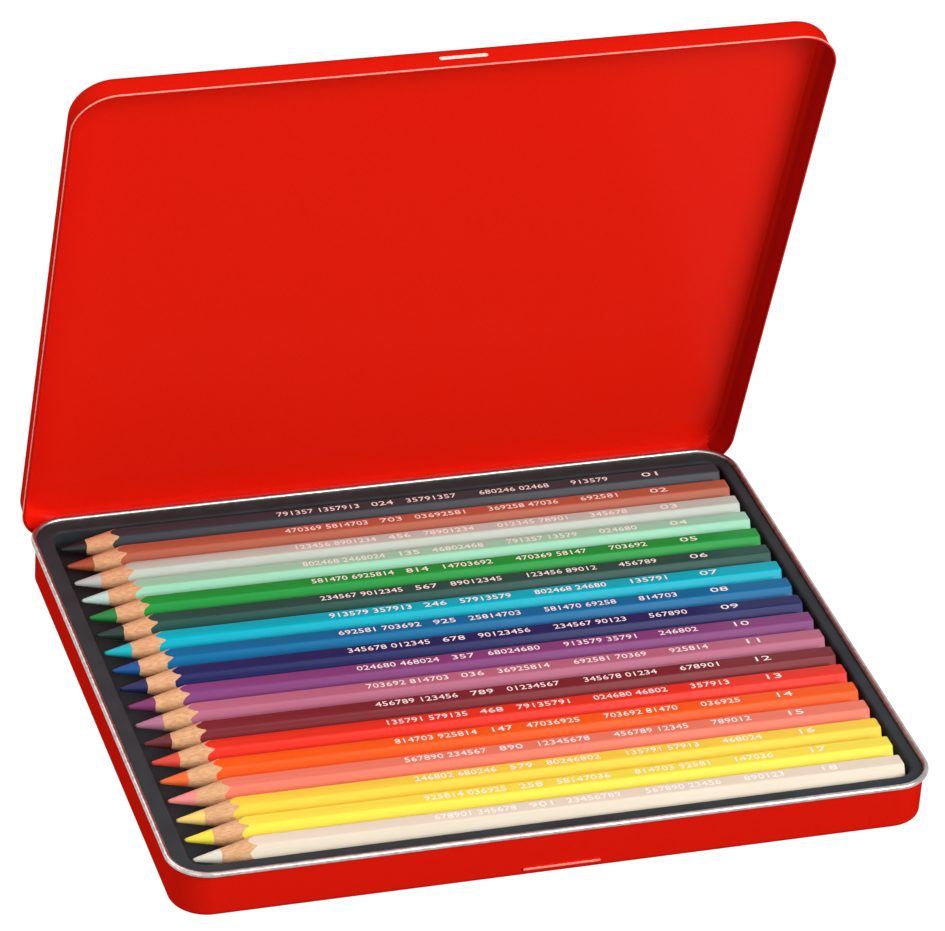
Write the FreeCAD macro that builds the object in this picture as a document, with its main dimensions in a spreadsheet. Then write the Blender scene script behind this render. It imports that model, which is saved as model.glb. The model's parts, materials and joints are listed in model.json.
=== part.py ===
import FreeCAD, Part
import math
import os
import Sketcher

# A flat hinged pencil tin: a drawn steel tray with a rolled rim, a drawn lid that stands
# open on two pin hinges, a vacuum-formed inlay and a row of sharpened hexagonal pencils.
# +X runs along the pencils, +Y to the hinges, +Z up; the origin is the middle of the
# tray's underside.

pencilCount = 18

doc = FreeCAD.newDocument("PencilTin")
sheet = doc.addObject("Spreadsheet::Sheet", "Sizes")
sizes = [
    ("trayHeight", 13.3, "underside to the top of the rim"),
    ("rimRadius", 10.4, "corner radius of the rim, outside"),
    ("rimSize", 1.4, "thickness of the rolled rim"),
    ("sheetThick", 0.25, "tinplate of tray and lid"),
    ("trayFillet", 1.5, "outer radius between floor and wall"),
    ("lidGap", 0.15, "skirt of the lid to the rim of the tray"),
    ("lidRise", 1.75, "top of the closed lid above the rim"),
    ("lidHeight", 8.0, "top of the lid to its free edge"),
    ("lidFillet", 2.8, "outer radius between panel and skirt"),
    ("lidAngle", 72.5, "how far the lid stands open, degrees"),
    ("hemSize", 0.8, "thickness of the rolled edge of the lid"),
    ("pinSize", 1.0, "diameter of a hinge pin"),
    ("pinPlay", 0.05, "pin to knuckle bore, radial"),
    ("pinOverhang", 0.6, "pin beyond its outer knuckles"),
    ("axisRise", 0.1, "hinge axis above the free edge of the lid"),
    ("hingeGap", 0.1, "lid knuckle to the wall of the tray"),
    ("hingeSpread", 104.0, "middle of one hinge to the middle of the other"),
    ("knuckleSize", 1.75, "outer diameter of a knuckle"),
    ("knuckleLength", 7.0, "each knuckle along the pin"),
    ("knuckleGap", 0.3, "between neighbouring knuckles"),
    ("notchGap", 0.25, "tray knuckles to the notch in the lid skirt"),
    ("leafHeight", 3.2, "hinge leaf on the wall of the tray"),
    ("tabHeight", 1.5, "hinge tab on the skirt of the lid, above its notch"),
    ("ridgeHeight", 0.4, "how far a thumb ridge stands out"),
    ("ridgeWidth", 1.3, "width of a thumb ridge"),
    ("trayRidgeLength", 20.0, "thumb ridge on the tray"),
    ("trayRidgeUp", 2.4, "its middle above the underside"),
    ("lidRidgeLength", 12.5, "thumb ridge on the lid"),
    ("lidRidgeUp", 3.6, "its middle above the free edge"),
    ("flangeTips", 4.2, "flange of the inlay beside the pencil tips"),
    ("flangeEnds", 3.2, "flange beside the pencil ends"),
    ("flangeSides", 4.2, "flange at the front and at the back"),
    ("inlaySheet", 0.5, "plastic of the inlay"),
    ("inlayGap", 0.1, "inlay to the wall of the tray"),
    ("legInset", 1.4, "legs of the inlay to the wall of the tray"),
    ("inlayDrop", 1.0, "flange of the inlay below the rim"),
    ("inlayEdge", 0.8, "radius between flange and pocket"),
    ("inlayFillet", 1.5, "radius at the foot of the pocket"),
    ("pocketRadius", 4.0, "corner radius of the pocket"),
    ("tipGap", 1.5, "pencil tips to the pocket wall"),
    ("endGap", 1.5, "pencil ends to the pocket wall"),
    ("sideGap", 1.1, "outer pencils to the pocket wall"),
    ("restGap", 0.1, "pencils to the floor of the pocket"),
    ("combHeight", 1.2, "ridges that keep the pencils apart"),
    ("combBase", 2.8, "width of such a ridge at the floor"),
    ("combLength", 14.0, "length of such a ridge"),
    ("combSpread", 120.0, "first row of ridges to the second"),
    ("pencilLength", 178.0, "tip to end"),
    ("pencilFlats", 6.9, "across the flats"),
    ("pencilPitch", 8.12, "from one pencil to the next"),
    ("pencilTop", 0.2, "upper flats above the rim"),
    ("endCap", 1.0, "dipped end over the lead"),
    ("leadSize", 3.8, "diameter of the lead"),
    ("leadExposed", 6.5, "bare lead in front of the wood"),
    ("tipRadius", 0.4, "blunt end of the point"),
    ("tipBevel", 0.2, "worn edge of that end"),
]
for row, (alias, value, note) in enumerate(sizes, start=1):
    sheet.set(f"A{row}", note)
    sheet.set(f"B{row}", str(value))
    sheet.setAlias(f"B{row}", alias)
doc.recompute()


def cell(alias):
    return f"Sizes.{alias}"


def number(expression):
    """What an expression on the sheet comes to, as a plain float."""
    return float(sheet.evalExpression(expression))


# Sizes that follow from the sheet, as expressions.
hexRadius = "(Sizes.pencilFlats / sqrt(3))"
rowDepth = f"({pencilCount - 1} * Sizes.pencilPitch + 2 * {hexRadius})"
pocketLength = "(Sizes.pencilLength + Sizes.tipGap + Sizes.endGap)"
pocketDepth = f"({rowDepth} + 2 * Sizes.sideGap)"
pocketAcross = "((Sizes.flangeTips - Sizes.flangeEnds) / 2)"
hollowWidth = f"({pocketLength} + Sizes.flangeTips + Sizes.flangeEnds + 2 * Sizes.inlayGap)"
hollowDepth = f"({pocketDepth} + 2 * Sizes.flangeSides + 2 * Sizes.inlayGap)"
hollowRadius = "(Sizes.rimRadius - Sizes.rimSize)"
trayWidth = f"({hollowWidth} + 2 * Sizes.rimSize)"
trayDepth = f"({hollowDepth} + 2 * Sizes.rimSize)"
wallInset = "(Sizes.rimSize - Sizes.sheetThick)"
wallWidth = f"({trayWidth} - 2 * {wallInset})"
wallDepth = f"({trayDepth} - 2 * {wallInset})"
wallRadius = f"(Sizes.rimRadius - {wallInset})"
lidOffset = "(Sizes.lidGap + Sizes.sheetThick)"
lidWidth = f"({trayWidth} + 2 * {lidOffset})"
lidDepth = f"({trayDepth} + 2 * {lidOffset})"
lidRadius = f"(Sizes.rimRadius + {lidOffset})"
boreRadius = "(Sizes.pinSize / 2 + Sizes.pinPlay)"
knuckleRadius = "(Sizes.knuckleSize / 2)"
hingeLength = "(3 * Sizes.knuckleLength + 2 * Sizes.knuckleGap)"
hingeBack = f"({wallDepth} / 2 + Sizes.hingeGap + {knuckleRadius})"
lidBack = f"({lidDepth} / 2 - {hingeBack})"
lidTop = "(Sizes.trayHeight + Sizes.lidRise)"
hingeUp = f"({lidTop} - Sizes.lidHeight + Sizes.axisRise)"
pencilUp = "(Sizes.trayHeight + Sizes.pencilTop - Sizes.pencilFlats / 2)"
tipAcross = f"({pocketAcross} - {pocketLength} / 2 + Sizes.tipGap)"
pencilMiddle = f"({tipAcross} + Sizes.pencilLength / 2)"
pointSlope = "((Sizes.leadSize / 2 - Sizes.tipRadius) / Sizes.leadExposed)"
inlayTop = "(Sizes.trayHeight - Sizes.inlayDrop)"
pocketFloor = f"({pencilUp} - Sizes.pencilFlats / 2 - Sizes.restGap)"


def newBody(label):
    body = doc.addObject("PartDesign::Body", label)
    body.Label = label
    return body


def originFeature(body, role):
    return next(f for f in body.Origin.OriginFeatures if f.Role == role)


def newSketch(body, name, plane, offset="0", across="0"):
    """A sketch on an origin plane of its body, moved along and across that plane's normal."""
    sketch = body.newObject("Sketcher::SketchObject", name)
    sketch.AttachmentSupport = (originFeature(body, plane), [""])
    sketch.MapMode = "FlatFace"
    sketch.setExpression("AttachmentOffset.Base.z", offset)
    sketch.setExpression("AttachmentOffset.Base.x", across)
    return sketch


def nameLast(sketch, name, expression):
    """Name the newest constraint of a sketch and bind it to the sheet."""
    sketch.renameConstraint(sketch.ConstraintCount - 1, name)
    sketch.setExpression(f"Constraints.{name}", expression)


def roundedRectangle(sketch, width, depth, radius, prefix=""):
    """Four sides joined by four corner arcs, about the origin of the sketch."""
    w, d, r = number(width), number(depth), number(radius)
    first = sketch.GeometryCount
    for quarter, (sx, sy) in enumerate([(1, 1), (-1, 1), (-1, -1), (1, -1)]):
        centre = FreeCAD.Vector(sx * (w / 2 - r), sy * (d / 2 - r), 0)
        circle = Part.Circle(centre, FreeCAD.Vector(0, 0, 1), r)
        start = quarter * math.pi / 2
        sketch.addGeometry(Part.ArcOfCircle(circle, start, start + math.pi / 2))
    for quarter in range(4):
        arc, following = first + quarter, first + (quarter + 1) % 4
        side = first + 4 + quarter
        begin = sketch.Geometry[arc].EndPoint
        end = sketch.Geometry[following].StartPoint
        sketch.addGeometry(Part.LineSegment(begin, end))
        sketch.addConstraint(Sketcher.Constraint("Tangent", arc, 2, side, 1))
        sketch.addConstraint(Sketcher.Constraint("Tangent", side, 2, following, 1))
        direction = "Horizontal" if quarter % 2 == 0 else "Vertical"
        sketch.addConstraint(Sketcher.Constraint(direction, side))
    for arc in range(first + 1, first + 4):
        sketch.addConstraint(Sketcher.Constraint("Equal", first, arc))
    sketch.addConstraint(Sketcher.Constraint("Symmetric", first, 3, first + 2, 3, -1, 1))
    sketch.addConstraint(Sketcher.Constraint("Radius", first, r))
    nameLast(sketch, prefix + "radius", radius)
    sketch.addConstraint(Sketcher.Constraint("DistanceX", first + 5, 1, first + 7, 1, w))
    nameLast(sketch, prefix + "width", width)
    sketch.addConstraint(Sketcher.Constraint("DistanceY", first + 6, 1, first + 4, 1, d))
    nameLast(sketch, prefix + "depth", depth)


def polygon(sketch, corners):
    """A closed outline whose corners are (x, y) pairs of expressions."""
    points = [FreeCAD.Vector(number(x), number(y), 0) for x, y in corners]
    count = len(points)
    for i, point in enumerate(points):
        sketch.addGeometry(Part.LineSegment(point, points[(i + 1) % count]))
    for i in range(count):
        following = (i + 1) % count
        sketch.addConstraint(Sketcher.Constraint("Coincident", i, 2, following, 1))
    for i, (x, y) in enumerate(corners):
        for kind, name, expression in (("DistanceX", f"x{i}", x), ("DistanceY", f"y{i}", y)):
            value = number(expression)
            sketch.addConstraint(Sketcher.Constraint(kind, -1, 1, i, 1, value))
            nameLast(sketch, name, expression)


def slot(sketch, length, width, up):
    """A stadium: two straight sides and two half rounds, its middle at height up."""
    half, r, z = number(f"({length} - {width}) / 2"), number(width) / 2, number(up)
    normal = FreeCAD.Vector(0, 0, 1)
    for side, start in ((1, -math.pi / 2), (-1, math.pi / 2)):
        circle = Part.Circle(FreeCAD.Vector(side * half, z, 0), normal, r)
        sketch.addGeometry(Part.ArcOfCircle(circle, start, start + math.pi))
    for side in (1, -1):
        begin = FreeCAD.Vector(side * half, z + side * r, 0)
        end = FreeCAD.Vector(-side * half, z + side * r, 0)
        sketch.addGeometry(Part.LineSegment(begin, end))
    for arc, side, other in ((0, 2, 1), (1, 3, 0)):
        sketch.addConstraint(Sketcher.Constraint("Tangent", arc, 2, side, 1))
        sketch.addConstraint(Sketcher.Constraint("Tangent", side, 2, other, 1))
    sketch.addConstraint(Sketcher.Constraint("Horizontal", 2))
    sketch.addConstraint(Sketcher.Constraint("Radius", 0, r))
    nameLast(sketch, "radius", f"{width} / 2")
    sketch.addConstraint(Sketcher.Constraint("DistanceX", 1, 3, 0, 3, 2 * half))
    nameLast(sketch, "length", f"{length} - {width}")
    sketch.addConstraint(Sketcher.Constraint("DistanceX", -1, 1, 0, 3, half))
    nameLast(sketch, "middle", f"({length} - {width}) / 2")
    sketch.addConstraint(Sketcher.Constraint("DistanceY", -1, 1, 0, 3, z))
    nameLast(sketch, "up", up)


def circle(sketch, radius, name, y="0", z="0"):
    """A circle with its centre at (y, z) in the plane of the sketch."""
    centre = FreeCAD.Vector(number(y), number(z), 0)
    index = sketch.addGeometry(Part.Circle(centre, FreeCAD.Vector(0, 0, 1), number(radius)))
    sketch.addConstraint(Sketcher.Constraint("Radius", index, number(radius)))
    nameLast(sketch, name, radius)
    for kind, axis, expression in (("DistanceX", "y", y), ("DistanceY", "z", z)):
        value = number(expression)
        sketch.addConstraint(Sketcher.Constraint(kind, -1, 1, index, 3, value))
        nameLast(sketch, name + axis, expression)


def feature(body, kind, name, sketch, length=None, reverse=False):
    """A pad, pocket, revolution or groove; what it does to the volume is checked."""
    before = body.Tip.Shape.Volume if body.Tip else 0.0
    made = body.newObject(f"PartDesign::{kind}", name)
    made.Profile = sketch
    if length is not None:
        made.setExpression("Length", length)
    else:
        made.ReferenceAxis = (sketch, ["H_Axis"])
    made.Reversed = reverse
    doc.recompute()
    change = made.Shape.Volume - before
    grows = kind in ("Pad", "Revolution")
    if (change > 1e-6) != grows or abs(change) < 1e-6:
        raise RuntimeError(f"{body.Label}.{name} changed the volume by {change:.4f}")
    return made


def edgesWhere(made, test):
    """Names of the edges whose bounding box passes a test."""
    return [f"Edge{i}" for i, e in enumerate(made.Shape.Edges, start=1) if test(e.BoundBox)]


def loopEdges(made, height, width, depth, acrossX="0", acrossY="0"):
    """Edges at one height that touch the sides of a rectangle about (acrossX, acrossY)."""
    z, x, y = number(height), number(acrossX), number(acrossY)
    halfWidth, halfDepth = number(width) / 2, number(depth) / 2

    def test(box):
        level = abs(box.ZMin - z) < 1e-4 and abs(box.ZMax - z) < 1e-4
        sideways = max(abs(box.XMin - x), abs(box.XMax - x))
        backward = max(abs(box.YMin - y), abs(box.YMax - y))
        inside = sideways < halfWidth + 1e-3 and backward < halfDepth + 1e-3
        touching = sideways > halfWidth - 1e-3 or backward > halfDepth - 1e-3
        return level and inside and touching

    return edgesWhere(made, test)


def rounding(body, name, base, edges, size):
    """A fillet on some edges of a feature."""
    if not edges:
        raise RuntimeError(f"{body.Label}.{name} found no edges")
    made = body.newObject("PartDesign::Fillet", name)
    made.Base = (base, edges)
    made.setExpression("Radius", size)
    doc.recompute()
    return made


def pattern(body, name, originals, axis, length, count):
    made = body.newObject("PartDesign::LinearPattern", name)
    made.Originals = originals
    made.Direction = (originFeature(body, axis), [""])
    made.setExpression("Length", length)
    made.Occurrences = count
    body.Tip = made
    doc.recompute()
    return made


def knuckle(body, name, start, ringBack, ringUp, leafCorners):
    """A bored barrel and the leaf or tab that carries it, from start along X."""
    ring = newSketch(body, name + "Ring", "YZ_Plane", start)
    circle(ring, knuckleRadius, "barrel", ringBack, ringUp)
    circle(ring, boreRadius, "bore", ringBack, ringUp)
    leaf = newSketch(body, name + "Leaf", "YZ_Plane", start)
    polygon(leaf, leafCorners)
    return [
        feature(body, "Pad", name + "LeafPad", leaf, cell("knuckleLength")),
        feature(body, "Pad", name + "Barrel", ring, cell("knuckleLength")),
    ]


def makeTray():
    """Drawn tray: floor, filleted wall, rolled rim, thumb ridge and hinge knuckles."""
    body = newBody("tray_shell")
    outline = newSketch(body, "WallOutline", "XY_Plane")
    roundedRectangle(outline, wallWidth, wallDepth, wallRadius)
    feature(body, "Pad", "Wall", outline, "Sizes.trayHeight - Sizes.rimSize / 2")
    rim = newSketch(body, "RimOutline", "XY_Plane", "Sizes.trayHeight - Sizes.rimSize")
    roundedRectangle(rim, trayWidth, trayDepth, cell("rimRadius"))
    feature(body, "Pad", "Rim", rim, cell("rimSize"))
    hollow = newSketch(body, "HollowOutline", "XY_Plane", cell("trayHeight"))
    roundedRectangle(hollow, hollowWidth, hollowDepth, hollowRadius)
    depth = "Sizes.trayHeight - Sizes.sheetThick"
    inside = feature(body, "Pocket", "Hollow", hollow, depth)
    outer = trayWidth, trayDepth
    rolled = loopEdges(inside, cell("trayHeight"), *outer)
    rolled += loopEdges(inside, cell("trayHeight"), hollowWidth, hollowDepth)
    rolled += loopEdges(inside, "Sizes.trayHeight - Sizes.rimSize", *outer)
    roll = rounding(body, "RimRoll", inside, rolled, "0.48 * Sizes.rimSize")
    floor = loopEdges(roll, cell("sheetThick"), hollowWidth, hollowDepth)
    inner = "Sizes.trayFillet - Sizes.sheetThick"
    floored = rounding(body, "FloorFillet", roll, floor, inner)
    foot = loopEdges(floored, "0", wallWidth, wallDepth)
    rounding(body, "FootFillet", floored, foot, cell("trayFillet"))

    ridge = newSketch(body, "RidgeOutline", "XZ_Plane", f"{wallDepth} / 2")
    slot(ridge, cell("trayRidgeLength"), cell("ridgeWidth"), cell("trayRidgeUp"))
    raised = feature(body, "Pad", "ThumbRidge", ridge, cell("ridgeHeight"))
    front = -number(f"{wallDepth} / 2 + Sizes.ridgeHeight")
    rounded = edgesWhere(raised, lambda box: abs(box.YMin - front) + abs(box.YMax - front) < 1e-3)
    rounding(body, "RidgeRound", raised, rounded, "0.85 * Sizes.ridgeHeight")

    leafTop, leafFoot = hingeUp, f"{hingeUp} - Sizes.leafHeight"
    wallBack, leafBack = f"{wallDepth} / 2", f"{hingeBack} - {boreRadius}"
    corners = [(wallBack, leafFoot), (leafBack, leafFoot), (leafBack, leafTop), (wallBack, leafTop)]
    originals = []
    for name, place in (("Outer", "0"), ("Inner", "2 * (Sizes.knuckleLength + Sizes.knuckleGap)")):
        start = f"-Sizes.hingeSpread / 2 - {hingeLength} / 2 + {place}"
        originals += knuckle(body, name, start, hingeBack, hingeUp, corners)
    pattern(body, "Hinges", originals, "X_Axis", cell("hingeSpread"), 2)
    return body


def makeLid():
    """Drawn lid about its hinge axis: panel, skirt, rolled edge, ridge and knuckles."""
    body = newBody("lid_shell")
    freeEdge = "-Sizes.axisRise"
    outline = newSketch(body, "SkirtOutline", "XY_Plane", freeEdge)
    outline.setExpression("AttachmentOffset.Base.y", f"-{hingeBack}")
    roundedRectangle(outline, lidWidth, lidDepth, lidRadius)
    feature(body, "Pad", "Skirt", outline, cell("lidHeight"))
    panelTop = "(Sizes.lidHeight - Sizes.axisRise)"
    middle = "0", f"-{hingeBack}"
    under = newSketch(body, "InsideOutline", "XY_Plane", freeEdge)
    under.setExpression("AttachmentOffset.Base.y", f"-{hingeBack}")
    sheetSides = "2 * Sizes.sheetThick"
    insideWidth, insideDepth = f"({lidWidth} - {sheetSides})", f"({lidDepth} - {sheetSides})"
    insideRadius = f"({lidRadius} - Sizes.sheetThick)"
    roundedRectangle(under, insideWidth, insideDepth, insideRadius)
    hollowDepth = "Sizes.lidHeight - Sizes.sheetThick"
    inside = feature(body, "Pocket", "Inside", under, hollowDepth, reverse=True)
    panelUnder = loopEdges(
        inside, f"{panelTop} - Sizes.sheetThick", insideWidth, insideDepth, *middle
    )
    shoulderInside = "Sizes.lidFillet - Sizes.sheetThick"
    inner = rounding(body, "InsideShoulder", inside, panelUnder, shoulderInside)
    edge = loopEdges(inner, panelTop, lidWidth, lidDepth, *middle)
    rounding(body, "Shoulder", inner, edge, cell("lidFillet"))

    hem = newSketch(body, "HemOutline", "XY_Plane", freeEdge)
    hem.setExpression("AttachmentOffset.Base.y", f"-{hingeBack}")
    hemOut = "(Sizes.hemSize - Sizes.sheetThick)"
    hemWidth, hemDepth = f"({lidWidth} + 2 * {hemOut})", f"({lidDepth} + 2 * {hemOut})"
    roundedRectangle(hem, hemWidth, hemDepth, f"({lidRadius} + {hemOut})", "outer")
    roundedRectangle(hem, insideWidth, insideDepth, insideRadius, "inner")
    rolled = feature(body, "Pad", "Hem", hem, cell("hemSize"))
    edges = loopEdges(rolled, freeEdge, hemWidth, hemDepth, *middle)
    edges += loopEdges(rolled, freeEdge, insideWidth, insideDepth, *middle)
    edges += loopEdges(rolled, f"{freeEdge} + Sizes.hemSize", hemWidth, hemDepth, *middle)
    rounding(body, "HemRoll", rolled, edges, "0.48 * Sizes.hemSize")

    ridge = newSketch(body, "RidgeOutline", "XZ_Plane", f"{lidDepth} / 2 + {hingeBack}")
    slot(ridge, cell("lidRidgeLength"), cell("ridgeWidth"), "Sizes.lidRidgeUp - Sizes.axisRise")
    raised = feature(body, "Pad", "ThumbRidge", ridge, cell("ridgeHeight"))
    front = -number(f"{lidDepth} / 2 + {hingeBack} + Sizes.ridgeHeight")
    crest = edgesWhere(raised, lambda box: abs(box.YMin - front) + abs(box.YMax - front) < 1e-3)
    rounding(body, "RidgeRound", raised, crest, "0.85 * Sizes.ridgeHeight")

    notchTop = f"({knuckleRadius} + Sizes.notchGap)"
    notchEnd = f"({hingeLength} / 2 + Sizes.pinOverhang + Sizes.notchGap)"
    hemBack = f"({lidBack} + {hemOut} + Sizes.notchGap)"
    notch = newSketch(body, "NotchOutline", "XZ_Plane", f"-{hemBack}")
    left, right = f"-Sizes.hingeSpread / 2 - {notchEnd}", f"-Sizes.hingeSpread / 2 + {notchEnd}"
    low = f"{freeEdge} - Sizes.notchGap"
    polygon(notch, [(left, low), (right, low), (right, notchTop), (left, notchTop)])
    cutDepth = "Sizes.hemSize + 2 * Sizes.notchGap"
    cut = feature(body, "Pocket", "Notch", notch, cutDepth, reverse=True)
    pattern(body, "Notches", [cut], "X_Axis", cell("hingeSpread"), 2)

    tabTop, tabInner = f"{notchTop} + Sizes.tabHeight", f"{lidBack} - Sizes.sheetThick / 2"
    corners = [
        (boreRadius, "0"),
        (knuckleRadius, "0"),
        (knuckleRadius, tabTop),
        (tabInner, tabTop),
        (tabInner, notchTop),
        (boreRadius, notchTop),
    ]
    start = "-Sizes.hingeSpread / 2 - Sizes.knuckleLength / 2"
    originals = knuckle(body, "Middle", start, "0", "0", corners)
    pattern(body, "Hinges", originals, "X_Axis", cell("hingeSpread"), 2)

    body.Placement.Rotation = FreeCAD.Rotation(FreeCAD.Vector(-1, 0, 0), 1)
    body.setExpression("Placement.Rotation.Angle", cell("lidAngle"))
    body.setExpression("Placement.Base.y", hingeBack)
    body.setExpression("Placement.Base.z", hingeUp)
    return body


def makePin(label, side):
    """Hinge pin cut from wire; side is -1 for the left one and 1 for the right."""
    body = newBody(label)
    sketch = newSketch(body, "PinOutline", "XY_Plane")
    half = f"({hingeLength} / 2 + Sizes.pinOverhang)"
    radius = "Sizes.pinSize / 2"
    polygon(sketch, [(f"-{half}", "0"), (half, "0"), (half, radius), (f"-{half}", radius)])
    feature(body, "Revolution", "Pin", sketch)
    body.setExpression("Placement.Base.x", f"{side} * Sizes.hingeSpread / 2")
    body.setExpression("Placement.Base.y", hingeBack)
    body.setExpression("Placement.Base.z", hingeUp)
    return body


def makeInlay():
    """Vacuum-formed inlay: flange, legs to the tray's floor, pocket and pencil combs."""
    body = newBody("inlay")
    under = f"({inlayTop} - Sizes.inlaySheet)"
    twice = "2 * Sizes.inlaySheet"
    play = "2 * Sizes.inlayGap"
    flange = newSketch(body, "FlangeOutline", "XY_Plane", under)
    flangeRadius = f"({hollowRadius} - Sizes.inlayGap)"
    roundedRectangle(flange, f"{hollowWidth} - {play}", f"{hollowDepth} - {play}", flangeRadius)
    feature(body, "Pad", "Flange", flange, cell("inlaySheet"))
    legs = newSketch(body, "LegOutline", "XY_Plane", cell("sheetThick"))
    legWidth = f"({hollowWidth} - 2 * Sizes.legInset)"
    legDepth = f"({hollowDepth} - 2 * Sizes.legInset)"
    legRadius = f"({hollowRadius} - Sizes.legInset)"
    roundedRectangle(legs, legWidth, legDepth, legRadius, "outer")
    innerRadius = f"{legRadius} - Sizes.inlaySheet"
    roundedRectangle(legs, f"{legWidth} - {twice}", f"{legDepth} - {twice}", innerRadius, "inner")
    feature(body, "Pad", "Legs", legs, f"{under} - Sizes.sheetThick")
    well = newSketch(body, "WellOutline", "XY_Plane", f"{pocketFloor} - Sizes.inlaySheet", pocketAcross)
    wellWidth, wellDepth = f"({pocketLength} + {twice})", f"({pocketDepth} + {twice})"
    roundedRectangle(well, wellWidth, wellDepth, "Sizes.pocketRadius + Sizes.inlaySheet")
    feature(body, "Pad", "Well", well, f"{inlayTop} - {pocketFloor}")
    pocket = newSketch(body, "PocketOutline", "XY_Plane", inlayTop, pocketAcross)
    roundedRectangle(pocket, pocketLength, pocketDepth, cell("pocketRadius"))
    sunk = feature(body, "Pocket", "Pocket", pocket, f"{inlayTop} - {pocketFloor}")
    wellFoot, wellFillet = f"{pocketFloor} - Sizes.inlaySheet", "Sizes.inlayFillet + Sizes.inlaySheet"
    inside, outside = (pocketLength, pocketDepth), (wellWidth, wellDepth)
    for name, height, span, radius in (
        ("PocketFoot", pocketFloor, inside, cell("inlayFillet")),
        ("WellFoot", wellFoot, outside, wellFillet),
        ("PocketLip", inlayTop, inside, cell("inlayEdge")),
    ):
        edges = loopEdges(sunk, height, *span, pocketAcross)
        sunk = rounding(body, name, sunk, edges, radius)

    between = f"(-{pencilCount} / 2 + 1) * Sizes.pencilPitch"
    half = "Sizes.combBase / 2"
    crest = f"{pocketFloor} + Sizes.combHeight"
    corners = [
        (f"{between} - {half}", f"{pocketFloor} - Sizes.inlaySheet / 2"),
        (f"{between} + {half}", f"{pocketFloor} - Sizes.inlaySheet / 2"),
        (f"{between} + {half}", pocketFloor),
        (f"{between} + {half} / 4", crest),
        (f"{between} - {half} / 4", crest),
        (f"{between} - {half}", pocketFloor),
    ]
    start = f"{pencilMiddle} - Sizes.combSpread / 2 - Sizes.combLength / 2"
    comb = newSketch(body, "CombOutline", "YZ_Plane", start)
    polygon(comb, corners)
    ridge = feature(body, "Pad", "Comb", comb, cell("combLength"))
    pattern(
        body, "CombRow", [ridge], "Y_Axis",
        f"{pencilCount - 2} * Sizes.pencilPitch", pencilCount - 1,
    )
    second = newSketch(body, "SecondOutline", "YZ_Plane", f"{start} + Sizes.combSpread")
    polygon(second, corners)
    ridge = feature(body, "Pad", "SecondComb", second, cell("combLength"))
    pattern(
        body, "SecondRow", [ridge], "Y_Axis",
        f"{pencilCount - 2} * Sizes.pencilPitch", pencilCount - 1,
    )
    return body


def placePencil(body, number_):
    """Number 1 lies nearest the hinges."""
    body.setExpression("Placement.Base.x", tipAcross)
    body.setExpression("Placement.Base.y", f"({(pencilCount + 1) / 2} - {number_}) * Sizes.pencilPitch")
    body.setExpression("Placement.Base.z", pencilUp)


def makeCasing(number_):
    """Hexagonal wooden stick, sharpened to a cone and bored for the lead."""
    body = newBody(f"pencil_{number_:02d}_casing")
    stick = body.newObject("PartDesign::AdditivePrism", "Stick")
    stick.AttachmentSupport = (originFeature(body, "YZ_Plane"), [""])
    stick.MapMode = "FlatFace"
    stick.Polygon = 6
    stick.setExpression("Circumradius", hexRadius)
    stick.setExpression("Height", cell("pencilLength"))
    doc.recompute()
    outside = f"({hexRadius} + Sizes.tipRadius)"
    point = newSketch(body, "PointOutline", "XY_Plane")
    corners = [
        ("-Sizes.tipRadius", cell("tipRadius")),
        ("0", cell("tipRadius")),
        (f"({outside} - Sizes.tipRadius) / {pointSlope}", outside),
        ("-Sizes.tipRadius", outside),
    ]
    polygon(point, corners)
    feature(body, "Groove", "Sharpened", point)
    bore = newSketch(body, "BoreOutline", "YZ_Plane")
    circle(bore, "Sizes.leadSize / 2", "bore")
    feature(body, "Pocket", "Bore", bore, "Sizes.pencilLength - Sizes.endCap", reverse=True)
    placePencil(body, number_)
    return body


def makeLead(number_):
    """Coloured lead: a rod as long as its bore, with the point that stands out of the wood."""
    body = newBody(f"pencil_{number_:02d}_lead")
    sketch = newSketch(body, "LeadOutline", "XY_Plane")
    rodEnd = "Sizes.pencilLength - Sizes.endCap"
    corners = [
        ("0", "0"),
        (rodEnd, "0"),
        (rodEnd, "Sizes.leadSize / 2"),
        (cell("leadExposed"), "Sizes.leadSize / 2"),
        (cell("tipBevel"), f"Sizes.tipRadius + {pointSlope} * Sizes.tipBevel"),
        ("0", "Sizes.tipRadius - Sizes.tipBevel"),
    ]
    polygon(sketch, corners)
    feature(body, "Revolution", "Lead", sketch)
    placePencil(body, number_)
    return body


nodes = [
    makeTray(),
    makeLid(),
    makePin("hinge_pin_left", -1),
    makePin("hinge_pin_right", 1),
    makeInlay(),
]
for pencil in range(1, pencilCount + 1):
    nodes.append(makeCasing(pencil))
    nodes.append(makeLead(pencil))
doc.recompute()

for item in doc.Objects:
    if "Invalid" in item.State or "Error" in item.State:
        raise RuntimeError(f"{item.Label} failed: {item.State}")
for node in nodes:
    if node.Shape.isNull() or not node.Shape.isValid():
        raise RuntimeError(f"{node.Label} has no valid shape")

os.makedirs("parts", exist_ok=True)
for node in nodes:
    node.Shape.exportStep(f"parts/{node.Label}.step")
    print(f"{node.Label}: {len(node.Shape.Solids)} solid, {node.Shape.Volume:.2f} mm3")
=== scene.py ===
import json
import math

import bpy
import numpy as np
from mathutils import Matrix, Vector


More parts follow.
